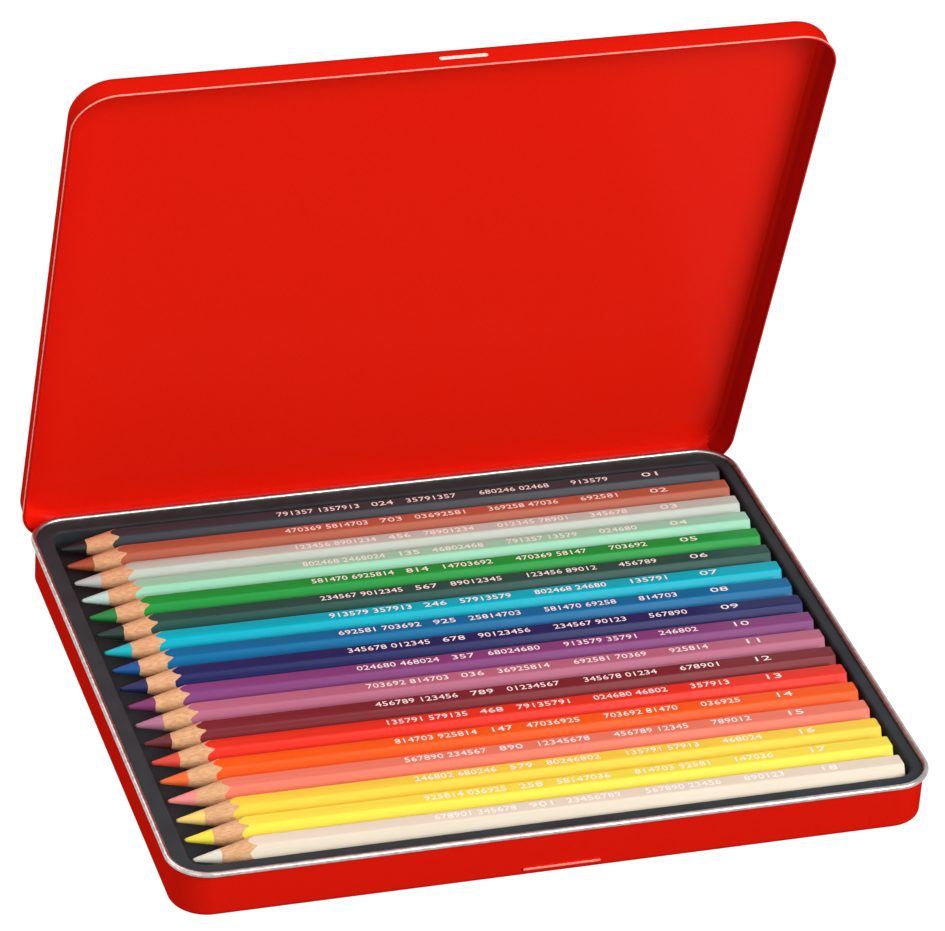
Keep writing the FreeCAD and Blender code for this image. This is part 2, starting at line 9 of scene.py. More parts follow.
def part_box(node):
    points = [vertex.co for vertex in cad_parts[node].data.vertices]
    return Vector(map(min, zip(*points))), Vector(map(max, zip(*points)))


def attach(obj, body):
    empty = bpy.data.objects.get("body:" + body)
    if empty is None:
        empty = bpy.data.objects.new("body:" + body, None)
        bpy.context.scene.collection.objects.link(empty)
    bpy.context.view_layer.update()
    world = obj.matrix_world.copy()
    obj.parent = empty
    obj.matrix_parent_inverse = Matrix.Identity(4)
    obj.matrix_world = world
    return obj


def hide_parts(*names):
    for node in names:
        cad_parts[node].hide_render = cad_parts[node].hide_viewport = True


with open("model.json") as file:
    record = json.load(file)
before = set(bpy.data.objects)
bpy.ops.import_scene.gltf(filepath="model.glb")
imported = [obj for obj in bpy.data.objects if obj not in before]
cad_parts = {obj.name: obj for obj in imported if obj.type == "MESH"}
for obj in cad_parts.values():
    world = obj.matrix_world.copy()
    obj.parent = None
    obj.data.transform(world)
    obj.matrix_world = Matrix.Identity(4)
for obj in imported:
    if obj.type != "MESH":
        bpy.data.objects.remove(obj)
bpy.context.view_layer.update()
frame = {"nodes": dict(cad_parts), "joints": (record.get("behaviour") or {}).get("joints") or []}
mm = 0.001  # all sizes below are written in millimetres and turned to metres once
scene = bpy.context.scene

# A flat pencil tin: +X along the pencils, +Y to the hinges, +Z up.


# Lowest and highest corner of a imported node, in millimetres.
def sizeOf(node):
    low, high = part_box(node)
    return np.array(low) / mm, np.array(high) / mm


cameraPlan = {
    "azimuth": -18.904,  # degrees, from straight in front; minus is to the left
    "elevation": 31.441,
    "roll": 3.991,
    "distance": 1339.68,  # mm, from the tray's underside along the view
    "across": 1.613,  # mm, sideways and upwards in the view
    "upward": 56.593,
    "focalPixels": 5341.8,  # focal length in pixels of the render
    "renderWide": 945,
    "sensor": 36.0,  # mm wide
    "farthest": 20000,  # mm, nothing beyond this is drawn
}


# The camera stands back from the tin along its view, turned by its roll and shifted sideways.
def makeCamera(plan):
    data = bpy.data.cameras.new("camera")
    data.sensor_width = plan["sensor"]
    data.lens = plan["focalPixels"] * plan["sensor"] / plan["renderWide"]
    data.clip_end = plan["farthest"] * mm
    azimuth, elevation, roll = (math.radians(plan[k]) for k in ("azimuth", "elevation", "roll"))
    back = Vector((math.sin(azimuth) * math.cos(elevation),
                   -math.cos(azimuth) * math.cos(elevation), math.sin(elevation)))
    right = Vector((0, 0, 1)).cross(back).normalized()
    up = back.cross(right)
    axisX = right * math.cos(roll) + up * math.sin(roll)
    axisY = up * math.cos(roll) - right * math.sin(roll)
    place = (axisX * plan["across"] + axisY * plan["upward"] + back * plan["distance"]) * mm
    turned = Matrix((axisX, axisY, back)).transposed().to_4x4()
    camera = bpy.data.objects.new("camera", data)
    camera.matrix_world = Matrix.Translation(place) @ turned
    scene.collection.objects.link(camera)
    scene.camera = camera


makeCamera(cameraPlan)
print("camera placed")


# Quads between neighbouring rows of a grid whose columns run round and close.
def gridFaces(rows, columns):
    row, column = np.meshgrid(np.arange(rows - 1), np.arange(columns), indexing="ij")
    following = (column + 1) % columns
    first, second = row * columns, (row + 1) * columns
    quads = [first + column, first + following, second + following, second + column]
    return np.stack(quads, -1).reshape(-1, 4)


# Turns all faces over where they face inwards, which makes the shell's signed volume, the sum
# of p dot (q cross r) over its triangles, negative.
def outward(points, faces, kinds):
    fans = np.array([(f[0], f[i], f[i + 1]) for f in faces for i in range(1, len(f) - 1)])
    p, q, r = points[fans[:, 0]], points[fans[:, 1]], points[fans[:, 2]]
    if np.einsum("ij,ij->", p, np.cross(q, r)) < 0:
        faces = [f[::-1] for f in faces]
    return points, faces, kinds


# A grid (rows, columns, 3) as (points, faces, kinds): rows are rings, and both ends get a cap.
def closedGrid(points, kinds=None):
    rows, columns = points.shape[:2]
    faces = gridFaces(rows, columns).tolist()
    faces.append(list(range(columns))[::-1])
    faces.append(list(range((rows - 1) * columns, rows * columns)))
    perRow = np.zeros(rows - 1, int) if kinds is None else np.asarray(kinds)
    kindList = np.repeat(perRow, columns).tolist() + [int(perRow[0]), int(perRow[-1])]
    return outward(points.reshape(-1, 3), faces, kindList)


# Several shells as one: points stacked, faces counted on.
def joined(shells):
    points, faces, kinds, start = [], [], [], 0
    for shellPoints, shellFaces, shellKinds in shells:
        points.append(shellPoints)
        faces += [[start + i for i in f] for f in shellFaces]
        kinds += list(shellKinds)
        start += len(shellPoints)
    return np.concatenate(points), faces, kinds


# A piece from a shell in millimetres, smooth but for edges sharper than an angle.
def newPiece(name, shell, materials, body, nodes=(), sharp=38):
    points, faces, kinds = shell
    mesh = bpy.data.meshes.new(name)
    mesh.from_pydata((np.asarray(points) * mm).tolist(), [], faces)
    for material in materials:
        mesh.materials.append(material)
    mesh.polygons.foreach_set("material_index", np.array(kinds, np.int32))
    mesh.polygons.foreach_set("use_smooth", np.ones(len(faces), bool))
    mesh.update()
    mesh.set_sharp_from_angle(angle=math.radians(sharp))
    piece = bpy.data.objects.new(name, mesh)
    scene.collection.objects.link(piece)
    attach(piece, body)
    if nodes:
        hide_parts(*nodes)
    return piece


# Points of a section on an arc about (out, up), from start to end in degrees.
def arc(out, up, radius, start, end, steps=8):
    turn = np.radians(np.linspace(start, end, steps + 1))
    return np.stack([out + radius * np.cos(turn), up + radius * np.sin(turn)], 1)


# Rings of rectangles with round corners, one per row of the arrays: each corner's centre lies
# its radius inside both sides, and the points run a quarter turn about it.
def rings(halfWidth, halfDepth, radius, height, across=0.0, cornerSteps=14):
    w, d, r, z, x0 = (np.broadcast_to(np.asarray(v, float), np.shape(height))[:, None, None]
                      for v in (halfWidth, halfDepth, radius, height, across))
    turn = np.radians(np.linspace(0, 90, cornerSteps + 1) + 90 * np.arange(4)[:, None])[None]
    signX = np.array([1, -1, -1, 1])[None, :, None]
    signY = np.array([1, 1, -1, -1])[None, :, None]
    x = x0 + signX * (w - r) + r * np.cos(turn)
    y = signY * (d - r) + r * np.sin(turn)
    grid = np.stack(np.broadcast_arrays(x, y, z), -1)
    return grid.reshape(grid.shape[0], -1, 3)


# A low ridge in (along, across, out): rings of a stadium shrunk by s, at a height that goes with
# the root of 1 less s to the fourth, which gives steep flanks and a nearly flat crest.
def stadiumBump(plan, rows=11, steps=16, innermost=0.04, sunk=0.08):
    length, width, height = (plan[k] for k in ("ridgeLength", "ridgeWidth", "ridgeHeight"))
    s = np.linspace(1, innermost, rows)[:, None]
    turn = np.radians(np.concatenate([np.linspace(-90, 90, steps), np.linspace(90, 270, steps)]))
    side = np.repeat([1.0, -1.0], steps)
    along = side * (length - width) / 2 + s * width / 2 * np.cos(turn)
    across = s * width / 2 * np.sin(turn)
    out = height * np.sqrt(1 - s**4) + 0 * along
    foot = np.stack([along[:1], across[:1], out[:1] * 0 - sunk], -1)
    return np.concatenate([foot, np.stack([along, across, out], -1)])


# A thumb ridge on the outside of a front wall; its crest, from one ring inwards, has its own kind.
def thumbRidge(plan, wall, crestFrom, crestKind):
    bump = stadiumBump(plan)
    points = np.stack([bump[..., 0], wall - bump[..., 2], plan["ridgeUp"] + bump[..., 1]], -1)
    return closedGrid(points, crestKind * (np.arange(len(points) - 1) >= crestFrom))


# An upright block as a shell, its four edges all but sharp.
def boxShell(low, high, edge=1e-3):
    low, high = np.array(low, float), np.array(high, float)
    middle, half = (low + high) / 2, (high - low) / 2
    grid = rings([half[0]] * 2, [half[1]] * 2, [edge] * 2, [low[2], high[2]], cornerSteps=1)
    return closedGrid(grid + [middle[0], middle[1], 0])


# An sRGB hex colour as linear RGBA.
def linear(hexColour):
    values = [int(hexColour[i:i + 2], 16) / 255 for i in (0, 2, 4)]
    return [v / 12.92 if v <= 0.04045 else ((v + 0.055) / 1.055) ** 2.4 for v in values] + [1.0]


def link(material, source, socket):
    material.node_tree.links.new(source, socket)


# Adds a node, sets its properties, and sets or links its inputs.
def addNode(material, kind, settings=None, inputs=None):
    node = material.node_tree.nodes.new("ShaderNode" + kind)
    for key, value in (settings or {}).items():
        setattr(node, key, value)
    for key, value in (inputs or {}).items():
        socket = node.inputs[key]
        if isinstance(value, bpy.types.NodeSocket):
            link(material, value, socket)
        else:
            socket.default_value = value
    return node


socketNames = {"roughness": "Roughness", "metallic": "Metallic",
               "specular": "Specular IOR Level", "ior": "IOR"}


# A material, its Principled shader with some sockets set, and Object coordinates.
def newMaterial(name, **sockets):
    material = bpy.data.materials.new(name)
    material.use_nodes = True
    shader = material.node_tree.nodes["Principled BSDF"]
    for key, value in sockets.items():
        shader.inputs[socketNames[key]].default_value = value
    return material, shader, addNode(material, "TexCoord").outputs["Object"]


# Noise whose features are about sizeInMm wide, stretched along an axis where asked.
def noise(material, place, sizeInMm, detail=3.0, rough=0.5, stretch=None):
    if stretch:
        place = addNode(material, "Mapping", inputs={"Vector": place, "Scale": stretch}).outputs[0]
    node = addNode(material, "TexNoise", inputs={
        "Vector": place, "Scale": 1 / (sizeInMm * mm), "Detail": detail, "Roughness": rough})
    return node.outputs["Fac"]


# A colour ramp from (place, value or colour) stops.
def ramp(material, fac, stops):
    node = addNode(material, "ValToRGB", inputs={"Fac": fac})
    elements = node.color_ramp.elements
    while len(elements) < len(stops):
        elements.new(0.5)
    for element, (place, value) in zip(elements, stops):
        element.position = place
        element.color = value if isinstance(value, (list, tuple)) else (value, value, value, 1)
    return node.outputs["Color"]


# Two colours blended by a factor, each of the three a value or a socket.
def blendColours(material, fac, first, second, mode="MIX"):
    node = addNode(material, "Mix", {"data_type": "RGBA", "blend_type": mode},
                   {0: fac, 6: first, 7: second})
    return node.outputs[2]


# A tone from one colour to another where a texture rises from the first place to the second.
def toneBy(material, shader, fac, places, colours):
    stops = [(place, linear(colour)) for place, colour in zip(places, colours)]
    link(material, ramp(material, fac, stops), shader.inputs["Base Color"])


# A colour darkened here and there by a texture, from a share of it to the whole.
def shadeBy(material, shader, fac, colour, stops):
    shade = ramp(material, fac, stops)
    link(material, blendColours(material, 1.0, linear(colour), shade, "MULTIPLY"),
         shader.inputs["Base Color"])


# Roughness about a middle value, a little lower or higher with a texture.
def roughBy(material, shader, fac, middle, lower, higher):
    rough = addNode(material, "MapRange", inputs={
        "Value": fac, "To Min": middle - lower, "To Max": middle + higher})
    link(material, rough.outputs[0], shader.inputs["Roughness"])


# Bumps the shader's normal by a height texture, depth in millimetres.
def bumpBy(material, shader, height, strength, depthInMm):
    bump = addNode(material, "Bump", inputs={
        "Height": height, "Strength": strength, "Distance": depthInMm * mm})
    link(material, bump.outputs["Normal"], shader.inputs["Normal"])


redFinishes = {  # the same lacquer in six copies, most of them painted shade, painted light and painted highlights
    "shadedRedLacquer": {
        "colour": "cc170a", "thin": "c71609", "roughness": 0.4, "specular": 0.0, "ior": 1.5},
    "litInsideRedLacquer": {
        "colour": "e71c0b", "thin": "e21a0a", "roughness": 0.3, "specular": 0.05, "ior": 1.45},
    "highlightRedLacquer": {
        "colour": "e97a6b", "thin": "ef9889", "roughness": 0.26, "specular": 0.3, "ior": 1.5},
    "creaseShadeRedLacquer": {
        "colour": "8c0c07", "thin": "940e08", "roughness": 0.4, "specular": 0.05, "ior": 1.5},
    "shoulderShadeRedLacquer": {
        "colour": "b0130a", "thin": "aa1209", "roughness": 0.35, "specular": 0.05, "ior": 1.5},
    "ridgeHighlightRedLacquer": {
        "colour": "f4c6b8", "thin": "fbe0d4", "roughness": 0.3, "specular": 0.3, "ior": 1.5},
}
filmPlan = {"fleck": 0.6, "peel": 0.9, "peelDepth": 0.2}  # mm, of all six


# Stove-dried lacquer rolled on tinplate: one even red with a faint orange peel and a low sheen.
# The outside copy is painted deeper and the inside copy lighter, painted shade and painted light
# for how the lamps fall on one lacquer. A pink copy is a painted highlight on the curls and the
# tray's thumb ridge, and a pale one a painted highlight on the lid's thumb ridge. Darker copies
# are painted shade in the crease, at the curl's inner edge and in the lid's right shoulder.
def makeRedLacquer(name, plan):
    material, shader, place = newMaterial(
        name, roughness=plan["roughness"], specular=plan["specular"], ior=plan["ior"])
    fleck = noise(material, place, filmPlan["fleck"], detail=2.0)
    toneBy(material, shader, fleck, places=(0.3, 0.55), colours=(plan["thin"], plan["colour"]))
    peel = noise(material, place, filmPlan["peel"], detail=1.0)
    bumpBy(material, shader, peel, strength=0.03, depthInMm=filmPlan["peelDepth"])
    return material


rimFinish = {"colour": "aeaca9", "worn": "94928f", "roughness": 0.36, "scuff": 1.6}  # scuff in mm


# Bare tinplate where the sheet is curled: a soft mirror with faint scuffs.
def makeBareTinplate(plan):
    material, shader, place = newMaterial("bareTinplate", metallic=1.0)
    scuff = noise(material, place, plan["scuff"], rough=0.55)
    toneBy(material, shader, scuff, places=(0.35, 0.6), colours=(plan["worn"], plan["colour"]))
    roughBy(material, shader, scuff, plan["roughness"], lower=0.04, higher=0.06)
    return material


wireFinish = {"colour": "b6b5b2", "lines": "8f8e8c", "roughness": 0.32, "spacing": 0.15}  # mm


# Drawn steel wire: greyish metal with fine lines along its length.
def makeSteelWire(plan):
    material, shader, place = newMaterial("drawnSteelWire", metallic=1.0, roughness=plan["roughness"])
    lines = noise(material, place, plan["spacing"], stretch=(0.03, 1, 1))
    toneBy(material, shader, lines, places=(0.3, 0.65), colours=(plan["lines"], plan["colour"]))
    return material


inlayFinish = {
    "colour": "292e31",
    "light": "31373a",
    "roughness": 0.55,
    "specular": 0.08,
    "patch": 9,  # mm, of a duller patch
    "skin": 0.4,  # mm, of the fine skin's grain
}


# Black polystyrene sheet drawn over a mould: satin, with a fine skin and a few duller patches.
def makeFormedPlastic(plan):
    material, shader, place = newMaterial("blackFormedPlastic", specular=plan["specular"], ior=1.55)
    patches = noise(material, place, plan["patch"])
    toneBy(material, shader, patches, places=(0.35, 0.7), colours=(plan["colour"], plan["light"]))
    roughBy(material, shader, patches, plan["roughness"], lower=0.05, higher=0.08)
    skin = noise(material, place, plan["skin"], detail=2.0)
    bumpBy(material, shader, skin, strength=0.1, depthInMm=0.1)
    return material


lacquerFinish = {"roughness": 0.24, "specular": 0.07, "grain": 0.7}  # grain in mm


# Nitro lacquer in several coats: an even gloss colour that sinks a little into the grain.
def makePencilLacquer(name, colour, plan):
    material, shader, place = newMaterial(
        name, roughness=plan["roughness"], specular=plan["specular"], ior=1.5)
    grain = noise(material, place, plan["grain"], stretch=(0.05, 1, 1))
    shadeBy(material, shader, grain, colour, stops=[(0.3, 0.96), (0.65, 1.0)])
    bumpBy(material, shader, grain, strength=0.05, depthInMm=0.2)
    return material


woodFinish = {
    "light": "d8a980",
    "dark": "c48f61",
    "pore": "b98458",
    "roughness": 0.75,
    "grain": 0.5,  # mm, across the grain
    "poreWidth": 0.28,  # coarser than real, so that the pores show
}


# Cedar cut by a sharpener: pale reddish wood with short dark pores along the grain.
def makeSharpenedWood(plan):
    material, shader, place = newMaterial("sharpenedCedar", roughness=plan["roughness"], specular=0.25)
    grain = noise(material, place, plan["grain"], detail=4.0, rough=0.6, stretch=(0.2, 1, 1))
    tone = ramp(material, grain, [(0.32, linear(plan["dark"])), (0.62, linear(plan["light"]))])
    pores = noise(material, place, plan["poreWidth"], detail=2.0, stretch=(0.3, 1, 1))
    poreMask = ramp(material, pores, [(0.26, 1.0), (0.38, 0.0)])
    link(material, blendColours(material, poreMask, tone, linear(plan["pore"])),
         shader.inputs["Base Color"])
    bumpBy(material, shader, pores, strength=0.3, depthInMm=0.15)
    return material


leadFinish = {"roughness": 0.5, "specular": 0.3, "speck": 0.3}  # speck in mm


# Wax and pigment core: matt, slightly waxy, with the chalky specks of its filler.
def makeColourLead(name, colour, plan):
    material, shader, place = newMaterial(
        name, roughness=plan["roughness"], specular=plan["specular"])
    specks = noise(material, place, plan["speck"], detail=4.0, rough=0.65)
    shadeBy(material, shader, specks, colour, stops=[(0.3, 0.86), (0.6, 1.0)])
    bumpBy(material, shader, specks, strength=0.2, depthInMm=0.1)
    return material


foilFinish = {
    "colour": "f6f4f0",
    "thin": "d8d5cf",
    "roughness": 0.4,
    "specular": 0.3,
    "wear": 0.3,  # mm, of a thin spot
}


# Hot-stamped white foil: slightly thinner and greyer where it did not take.
def makeNumberFoil(plan):
    material, shader, place = newMaterial(
        "whiteStampFoil", roughness=plan["roughness"], specular=plan["specular"])
    wear = noise(material, place, plan["wear"])
    toneBy(material, shader, wear, places=(0.3, 0.5), colours=(plan["thin"], plan["colour"]))
    return material


(shadedRed, litInsideRed, highlightLacquer, creaseShade, shoulderShade,
 ridgeHighlightLacquer) = (makeRedLacquer(name, finish) for name, finish in redFinishes.items())
bareTinplate = makeBareTinplate(rimFinish)
steelWire = makeSteelWire(wireFinish)
formedPlastic = makeFormedPlastic(inlayFinish)
sharpenedWood = makeSharpenedWood(woodFinish)
numberFoil = makeNumberFoil(foilFinish)
print("finishes made")


trayLow, trayHigh = sizeOf("tray_shell")
trayPlan = {
    "halfWidth": trayHigh[0],  # over the rolled rim
    "halfDepth": -trayLow[1],
    "height": trayHigh[2],
    "cornerRadius": 10.4,
    "rimSize": 1.4,  # thickness of the curl
    "sheet": 0.25,
    "footRadius": 1.5,
    "footSteps": 8,
    "curlSteps": 36,
    "bareFrom": -75,  # degrees round the curl where the lacquer ends, 0 is outwards
    "ridgeLength": 20.0,
    "ridgeWidth": 1.3,
    "ridgeHeight": 0.4,
    "ridgeUp": 2.4,
    "ridgeCrest": 6,  # the ring of the ridge from which its crest has a painted highlight
}
# The outside red is the copy painted deeper, painted shade on the outer faces.
trayFinishes = [shadedRed, bareTinplate, highlightLacquer]
bareKind, trayHighlightKind = 1, 2  # places in that list


# One closed section carried round the tin: foot, wall, the curl from where it leaves the wall
# over the top to the inside, and back down inside; the sheet is bare from the curl inwards.
def makeTray(plan):
    rimRadius, sheet, foot = plan["rimSize"] / 2, plan["sheet"], plan["footRadius"]
    footSteps, curlSteps = plan["footSteps"], plan["curlSteps"]
    inset = plan["rimSize"] - sheet
    rimOut, rimUp = inset - rimRadius, plan["height"] - rimRadius
    under = -180 + math.degrees(math.acos(rimOut / rimRadius))
    section = np.concatenate([
        arc(-foot, foot, foot, -90, 0, footSteps),
        arc(rimOut, rimUp, rimRadius, under, 180, curlSteps),
        arc(-foot, foot, foot - sheet, 0, -90, footSteps),
    ])
    out, up = section[:, 0], section[:, 1]
    grid = rings(plan["halfWidth"] - inset + out, plan["halfDepth"] - inset + out,
                 plan["cornerRadius"] - inset + out, up, cornerSteps=20)
    turn = np.linspace(under, 180, curlSteps + 1)[:-1]
    kinds = np.zeros(len(section) - 1, int)
    curlFrom, curlTo = footSteps + 1, footSteps + 1 + curlSteps
    kinds[curlFrom:curlTo] = bareKind * (turn >= plan["bareFrom"])
    kinds[curlTo:] = bareKind
    # The ridge's crest has a painted highlight.
    ridge = thumbRidge(plan, inset - plan["halfDepth"], plan["ridgeCrest"], trayHighlightKind)
    newPiece("trayShell", joined([closedGrid(grid, kinds), ridge]), trayFinishes, "tray",
             ["tray_shell"])


makeTray(trayPlan)
print("tray made")


hinge = next(j for j in frame["joints"] if j["name"] == "lid_hinge")
hingeBack, hingeUp = hinge["pos_m"][1] / mm, hinge["pos_m"][2] / mm
lidPlan = {
    "sheet": 0.25,
    "gap": 0.15,  # skirt to the rim of the tray
    "bead": 0.8,  # thickness of the curl along the free edge
    "crease": 0.14,  # depth of the line where the curl meets the skirt
    "creaseUp": (0.24, 0.04),  # its upper and lower end above the curl
    "curlLate": 14,  # degrees round the curl that the crease takes up
    "freeEdge": -0.1,  # below the hinge axis, with the lid shut
    "height": 8.0,
    "shoulder": 2.8,
    "shoulderSteps": 14,
    "curlSteps": 28,
    "highlightFrom": 20,  # degrees round the curl where the painted highlight begins, 0 is outwards
    "highlightTo": -50,
    "creaseShadeFrom": -112,  # where the painted shade begins, at the inner edge
    "shoulderShadeRows": 7,  # rows of faces from the curl up inside with painted shade
    "shoulderFadeRows": 6,  # and the rows after them where the painted shade fades
    "shoulderShadeReach": 0.7,  # how far past the right shoulder, inwards, the painted shade reaches
    "openAngle": 72.5,  # degrees, how far it stands open
    "ridgeLength": 12.5,
    "ridgeWidth": 1.3,
    "ridgeHeight": 0.4,
    "ridgeUp": 3.5,  # above the hinge axis, with the lid shut
    "ridgeCrest": 3,  # the ring of the ridge from which its crest has a painted highlight
}
for size in ("halfWidth", "halfDepth", "cornerRadius"):
    lidPlan[size] = trayPlan[size] + lidPlan["gap"] + lidPlan["sheet"]
lidFinishes = [shadedRed, highlightLacquer, creaseShade, litInsideRed, shoulderShade, ridgeHighlightLacquer,
               shadedRed]
highlightKind, creaseShadeKind, insideKind, shoulderShadeKind, ridgeHighlightKind, shoulderFadeKind = range(1, 7)
hingePlan = {
    "spread": 104.0,  # middle of one hinge to the middle of the other
    "knuckle": 7.0,  # length of each knuckle
    "gap": 0.3,
    "outside": 0.875,  # radius of a knuckle
    "bore": 0.55,
    "wallGap": 0.1,  # knuckle to the wall of the tray
    "leafHeight": 3.2,
    "leafFrom": 1.1,  # below the pin, where a leaf's outside leaves the wall
    "leafInside": 0.75,  # and its inside
    "leafFoot": 0.1,  # thicker there, to sink into the wall
    "tabHeight": 1.5,
    "pinOverhang": 0.6,
    "notchGap": 0.25,
}


# The shut lid's points, which are about the hinge axis, turned back to where the lid stands.
def opened(points, plan):
    angle = math.radians(plan["openAngle"])
    y, z = points[..., 1], points[..., 2]
    return np.stack([points[..., 0], hingeBack + y * math.cos(angle) + z * math.sin(angle),
                     hingeUp + z * math.cos(angle) - y * math.sin(angle)], -1)


# A section (y, z) carried along X between two places, as a shell.
def strip(across, section):
    grid = np.stack([np.column_stack([np.full(len(section), x), section]) for x in across])
    return closedGrid(grid)


# Section of a leaf that runs up from its foot and curls round the pin at the origin:
# the outer line is the leaf's outside and a circle, the inner line the same less the sheet.
def curledLeaf(plan, foot, wallTo, steps=33):
    thick, radius = plan["outside"] - plan["bore"], plan["outside"]
    outer = arc(0, 0, radius, 180, -150, steps)
    inner = outer * (radius - thick) / radius
    inside = wallTo + thick + plan["leafFoot"]
    return np.concatenate([[[wallTo, foot], [wallTo, -plan["leafFrom"]]], outer, inner[::-1],
                           [[inside, -plan["leafInside"]], [inside, foot]]])


# Section of the lid from the middle of its top out over the shoulder, down the skirt, round the
# curl of the free edge and back up inside, and the kind of lacquer on each of its rows, which
# puts painted highlight and painted shade on the curl, the crease and the shoulder.
def lidSection(plan):
    shoulder, free, late = plan["shoulder"], plan["freeEdge"], plan["curlLate"]
    shoulderSteps, curlSteps = plan["shoulderSteps"], plan["curlSteps"]
    top, beadRadius = free + plan["height"], plan["bead"] / 2
    beadOut, beadUp = beadRadius - plan["sheet"], free + beadRadius
    meets = math.degrees(math.acos(-beadOut / beadRadius))
    meetsUp = beadUp + beadRadius * math.sin(math.radians(meets))
    creaseTop, creaseFoot = plan["creaseUp"]
    crease = [[0, meetsUp + creaseTop], [-plan["crease"], meetsUp + creaseFoot]]
    section = np.concatenate([
        arc(-shoulder, top - shoulder, shoulder, 90, 0, shoulderSteps),
        crease,
        arc(beadOut, beadUp, beadRadius, meets - late, -180, curlSteps),
        arc(-shoulder, top - shoulder, shoulder - plan["sheet"], 0, 90, shoulderSteps),
    ])
    turn = np.linspace(meets - late, -180, curlSteps + 1)[:-1]
    # The curl's outer band has a painted highlight, and its inner edge painted shade.
    curlKinds = highlightKind * ((turn < plan["highlightFrom"]) & (turn > plan["highlightTo"]))
    curlKinds[turn < plan["creaseShadeFrom"]] = creaseShadeKind
    # Painted shade in the crease and up the shoulder rows, then a fade to the inside red.
    kinds = np.concatenate([
        [0] * (shoulderSteps + 1),
        [creaseShadeKind] * len(crease),
        curlKinds,
        [shoulderShadeKind] * plan["shoulderShadeRows"],
        [shoulderFadeKind] * plan["shoulderFadeRows"],
    ])
    return section, np.pad(kinds, (0, len(section) - 1 - len(kinds)), constant_values=insideKind)


# The lid less a block at each hinge that is wider than its three knuckles and the pin, taken
# from it with a boolean, as a shell again.
def notched(lidShell, plan, beyond=1.0):
    hingeAt, notch = hingePlan["spread"] / 2, hingePlan["notchGap"]
    half = 1.5 * hingePlan["knuckle"] + hingePlan["gap"] + hingePlan["pinOverhang"] + notch
    backEdge, under = plan["halfDepth"] - hingeBack, plan["freeEdge"] - beyond
    cutters = [boxShell((middle - half, backEdge - beyond, under),
                        (middle + half, backEdge + beyond, hingePlan["outside"] + notch))
               for middle in (-hingeAt, hingeAt)]
    whole = newPiece("lidWhole", lidShell, lidFinishes, "lid")
    cutter = newPiece("lidCutter", joined(cutters), lidFinishes, "lid")
    modifier = whole.modifiers.new("notches", "BOOLEAN")
    modifier.operation, modifier.solver, modifier.object = "DIFFERENCE", "EXACT", cutter
    mesh = whole.evaluated_get(bpy.context.evaluated_depsgraph_get()).to_mesh()
    points = np.zeros(len(mesh.vertices) * 3, np.float32)
    mesh.vertices.foreach_get("co", points)
    faces = [list(p.vertices) for p in mesh.polygons]
    kinds = [p.material_index for p in mesh.polygons]
    for leftover in (whole, cutter):
        bpy.data.objects.remove(leftover)
    return points.reshape(-1, 3) / mm, faces, kinds


# The section carried round the tin, about the hinge axis, with its notches, and the thumb ridge.
# The painted shade up from the curl inside is kept on the right side only, and elsewhere the
# inside is as even as the rest of it.
def makeLid(plan):
    section, rowKinds = lidSection(plan)
    out, up = section[:, 0], section[:, 1]
    grid = rings(plan["halfWidth"] + out, plan["halfDepth"] + out, plan["cornerRadius"] + out,
                 up, cornerSteps=20)
    grid[..., 1] -= hingeBack
    points, faces, kinds = closedGrid(grid, rowKinds)
    # Painted shade in the shoulder, on the right side only.
    shoulderShadeFrom = plan["halfWidth"] - plan["shoulder"] - plan["shoulderShadeReach"]
    kinds = [insideKind if kind in (shoulderShadeKind, shoulderFadeKind) and points[face[0], 0] < shoulderShadeFrom else kind
             for face, kind in zip(faces, kinds)]
    # The lid's ridge crest is painted pale, a painted highlight.
    ridge = thumbRidge(plan, -plan["halfDepth"] - hingeBack, plan["ridgeCrest"], ridgeHighlightKind)
    return [notched((points, faces, kinds), plan), ridge]


# Leaves curled round both pins: one tab of the lid between two of the tray at each hinge.
def makeHinges(plan):
    tabs, knuckles = [], []
    outside, reach, step = plan["outside"], plan["knuckle"] / 2, plan["knuckle"] + plan["gap"]
    tab = curledLeaf(plan, -(outside + plan["notchGap"] + plan["tabHeight"]), -outside)
    leaf = curledLeaf(plan, -plan["leafHeight"], -outside - plan["wallGap"])
    for middle in (-plan["spread"] / 2, plan["spread"] / 2):
        tabs.append(strip((middle - reach, middle + reach), -tab))
        for place in (middle - step, middle + step):
            knuckles.append(strip((place - reach, place + reach), leaf + [hingeBack, hingeUp]))
    return tabs, knuckles


tabs, knuckles = makeHinges(hingePlan)
lidPoints, lidFaces, lidKinds = joined(makeLid(lidPlan) + tabs)
newPiece("lidShell", (opened(lidPoints, lidPlan), lidFaces, lidKinds), lidFinishes, "lid",
         ["lid_shell"])
newPiece("trayKnuckles", joined(knuckles), [shadedRed], "tray")
for pin in ("hinge_pin_left", "hinge_pin_right"):
    frame["nodes"][pin].data.materials.clear()
    frame["nodes"][pin].data.materials.append(steelWire)
print("lid and hinges made")


